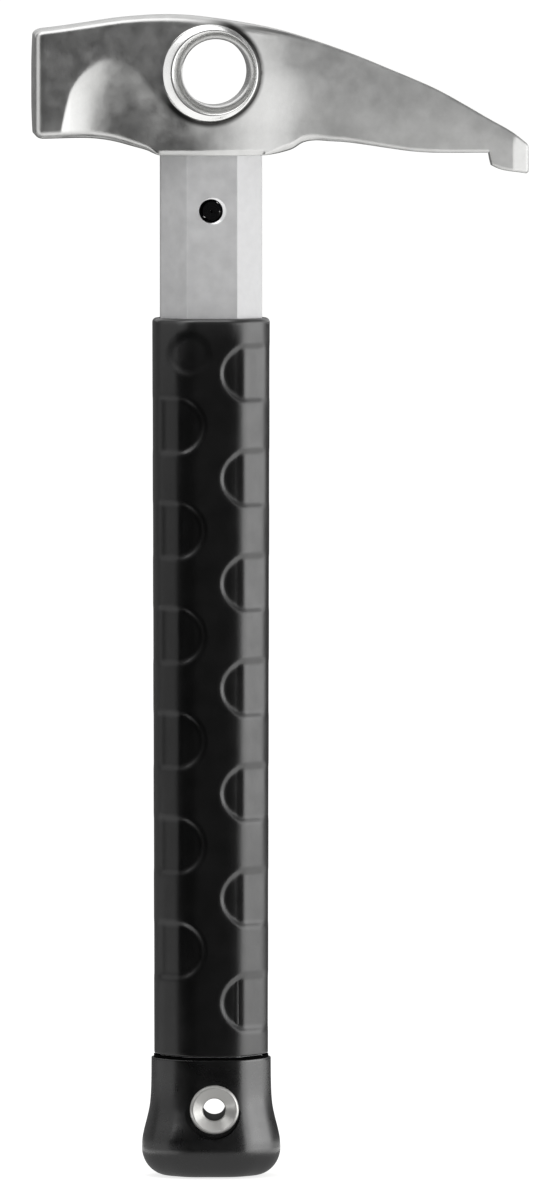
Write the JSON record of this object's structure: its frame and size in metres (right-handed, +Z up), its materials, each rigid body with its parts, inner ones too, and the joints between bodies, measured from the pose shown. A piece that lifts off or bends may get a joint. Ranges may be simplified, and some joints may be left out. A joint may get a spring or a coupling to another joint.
{
  "type": "piton hammer",
  "caption": "Piton hammer with a ringed carabiner hole, a square poll, a tapering beak, an aluminium handle, a grooved rubber grip and a lanyard eye.",
  "frame": {"origin": "centre of the flat butt of the end cap, on the handle's axis", "axes": "+Z up the handle toward the head, +X toward the beak's tip, -Y toward the side seen in the picture"},
  "size_m": [0.1224, 0.0292, 0.2867],
  "materials": {
    "cast_steel": "satin blasted alloy steel",
    "spring_steel": "black oxide",
    "drawn_aluminium": "matt anodised",
    "grip_rubber": "moulded matt rubber",
    "cap_rubber": "moulded smooth rubber",
    "black_nylon": "moulded nylon",
    "plated_steel": "bright nickel plate"
  },
  "bodies": {
    "root": {"head": "cast_steel", "head_pin": "spring_steel", "handle_tube": "drawn_aluminium", "grip_sleeve": "grip_rubber", "end_cap": "cap_rubber", "tube_plug": "black_nylon", "eyelet": "plated_steel", "eyelet_washer": "plated_steel"}
  },
  "joints": []
}
